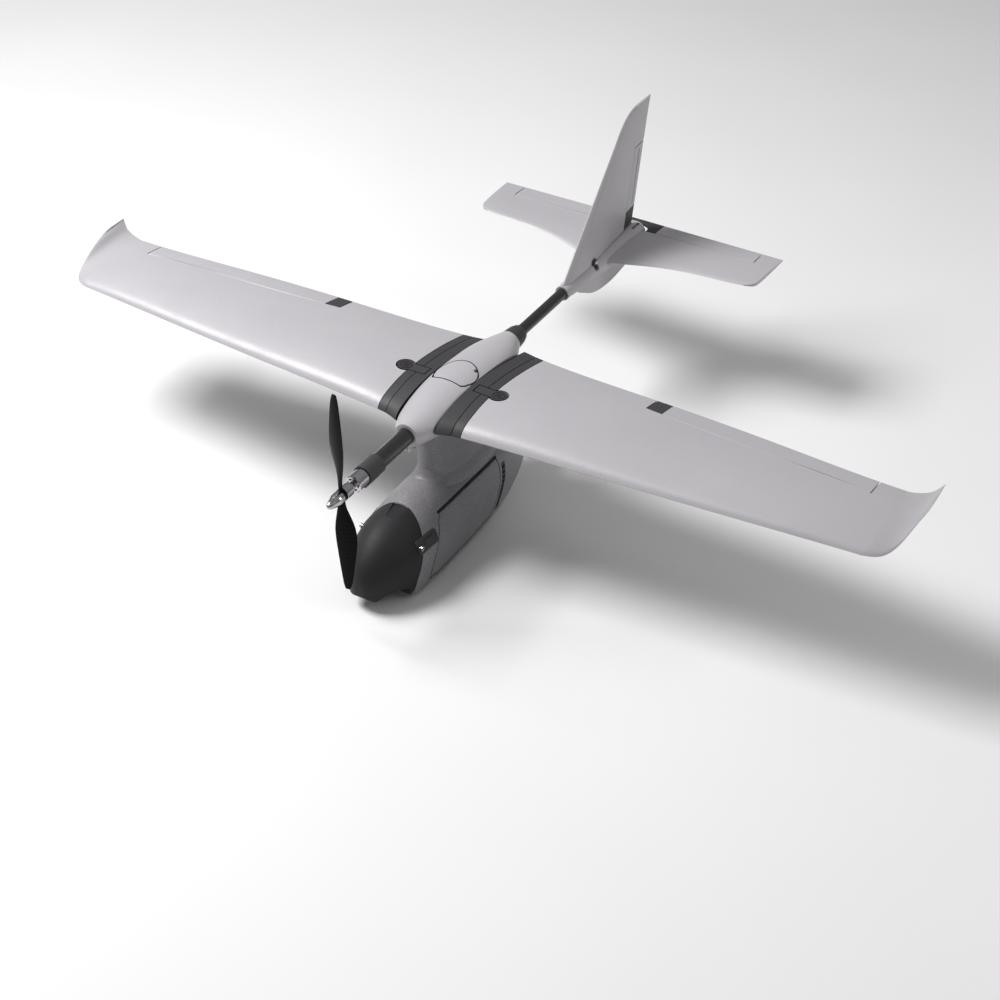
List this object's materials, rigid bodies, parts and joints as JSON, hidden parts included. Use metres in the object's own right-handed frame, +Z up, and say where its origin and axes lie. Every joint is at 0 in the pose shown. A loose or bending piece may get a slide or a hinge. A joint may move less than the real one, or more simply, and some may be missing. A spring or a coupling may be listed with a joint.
{
  "type": "fixed wing drone",
  "caption": "Fixed-wing survey aircraft with a nose propeller, removable wing panels with ailerons, a tail on a carbon boom and a camera pod slung under the wing.",
  "frame": {"origin": "bottom centre of the bounding box: on the ground plane under the belly skid, on the plane of symmetry, half way from the spinner tip to the fin tip", "axes": "+X to the left wing tip along the span, -Y to the nose and propeller, +Z up"},
  "size_m": [1.8004, 1.172, 0.577],
  "materials": {
    "airframe_grey": "satin",
    "battery_wrap": "satin",
    "button_white": "satin",
    "camera_black": "satin",
    "carbon_blade": "satin",
    "carbon_tube": "gloss",
    "electronics": "satin",
    "lens_glass": "gloss",
    "motor_metal": "polished",
    "nose_dark": "matte",
    "seal_rubber": "matte",
    "servo_case": "satin",
    "stator": "satin",
    "steel": "satin",
    "trim_dark": "satin"
  },
  "bodies": {
    "airframe": {"aileron_servo_covers": "airframe_grey", "aileron_servos": "servo_case", "battery": "battery_wrap", "belly_skid": "trim_dark", "boom_collar": "trim_dark", "camera_body": "camera_black", "camera_lens": "lens_glass", "center_body": "airframe_grey", "center_rib_left": "trim_dark", "center_rib_right": "trim_dark", "clamp_screws": "steel", "flight_controller": "electronics", "front_boom": "carbon_tube", "gps_module": "electronics", "hinge_pins": "steel", "motor_bearings": "steel", "motor_controller": "electronics", "motor_mount": "trim_dark", "motor_stator": "stator", "nose_bulkhead": "trim_dark", "nose_latch_plates": "trim_dark", "nose_latch_screws": "steel", "pod_shell": "airframe_grey", "rear_boom": "carbon_tube", "side_panel_left": "airframe_grey", "side_panel_right": "airframe_grey", "side_panel_seals": "seal_rubber", "tail_body": "airframe_grey", "tail_port": "trim_dark", "tail_servos": "servo_case", "tailplane": "airframe_grey", "vent_grilles": "trim_dark", "wing_panel_left": "airframe_grey", "wing_panel_right": "airframe_grey", "wing_rear_pin": "steel", "wing_root_rib_left": "trim_dark", "wing_root_rib_right": "trim_dark", "wing_spar": "carbon_tube"},
    "propeller_set": {"motor_bell": "motor_metal", "motor_shaft": "steel", "prop_adapter": "motor_metal", "propeller": "carbon_blade", "spinner": "motor_metal"},
    "aileron_left": {"aileron_left": "airframe_grey", "aileron_drive_left": "trim_dark"},
    "aileron_right": {"aileron_right": "airframe_grey", "aileron_drive_right": "trim_dark"},
    "elevator": {"elevator_left": "airframe_grey", "elevator_right": "airframe_grey", "elevator_joiner": "trim_dark"},
    "rudder": {"rudder": "airframe_grey", "rudder_drive": "trim_dark"},
    "wing_latch_left": {"wing_latch_left": "trim_dark"},
    "wing_latch_right": {"wing_latch_right": "trim_dark"},
    "nose_latch_button_left": {"nose_latch_button_left": "trim_dark"},
    "nose_latch_button_right": {"nose_latch_button_right": "trim_dark"},
    "top_hatch": {"top_hatch": "airframe_grey"},
    "nose_cover": {"nose_cover": "nose_dark", "nose_scoop": "nose_dark"},
    "tail_button": {"tail_button": "button_white"}
  },
  "joints": [
    {"name": "propeller_spin", "type": "hinge", "parent": "airframe", "child": "propeller_set", "pos_m": [0, -0.545, 0.29], "axis": [0, -1, 0], "continuous": true},
    {"name": "aileron_left_hinge", "type": "hinge", "parent": "airframe", "child": "aileron_left", "pos_m": [0.341, -0.0577, 0.2968], "axis": [0.9961, -0.0854, 0.0213], "range_deg": [-25, 25]},
    {"name": "aileron_right_hinge", "type": "hinge", "parent": "airframe", "child": "aileron_right", "pos_m": [-0.341, -0.0577, 0.2968], "axis": [0.9961, 0.0854, -0.0213], "range_deg": [-25, 25]},
    {"name": "elevator_hinge", "type": "hinge", "parent": "airframe", "child": "elevator", "pos_m": [0, 0.5268, 0.294], "axis": [1, 0, 0], "range_deg": [-25, 25]},
    {"name": "rudder_hinge", "type": "hinge", "parent": "airframe", "child": "rudder", "pos_m": [0, 0.485, 0.312], "axis": [0, 0.2103, 0.9776], "range_deg": [-25, 25]},
    {"name": "wing_latch_left_rock", "type": "hinge", "parent": "airframe", "child": "wing_latch_left", "pos_m": [0.084, -0.185, 0.318], "axis": [0, 1, 0], "range_deg": [0, 5], "stiffness_Nm_per_rad": 0.6},
    {"name": "wing_latch_right_rock", "type": "hinge", "parent": "airframe", "child": "wing_latch_right", "pos_m": [-0.084, -0.185, 0.318], "axis": [0, -1, 0], "range_deg": [0, 5], "stiffness_Nm_per_rad": 0.6},
    {"name": "nose_button_left_push", "type": "slide", "parent": "airframe", "child": "nose_latch_button_left", "axis": [-1, 0, 0], "range_m": [0, 0.002], "stiffness_N_per_m": 600},
    {"name": "nose_button_right_push", "type": "slide", "parent": "airframe", "child": "nose_latch_button_right", "axis": [1, 0, 0], "range_m": [0, 0.002], "stiffness_N_per_m": 600},
    {"name": "top_hatch_lift", "type": "slide", "parent": "airframe", "child": "top_hatch", "axis": [0, 0, 1], "range_m": [0, 0.05]},
    {"name": "nose_cover_draw", "type": "slide", "parent": "airframe", "child": "nose_cover", "axis": [0, -1, 0], "range_m": [0, 0.025]},
    {"name": "tail_button_push", "type": "slide", "parent": "airframe", "child": "tail_button", "axis": [-1, 0, 0], "range_m": [0, 0.0015], "stiffness_N_per_m": 500}
  ]
}
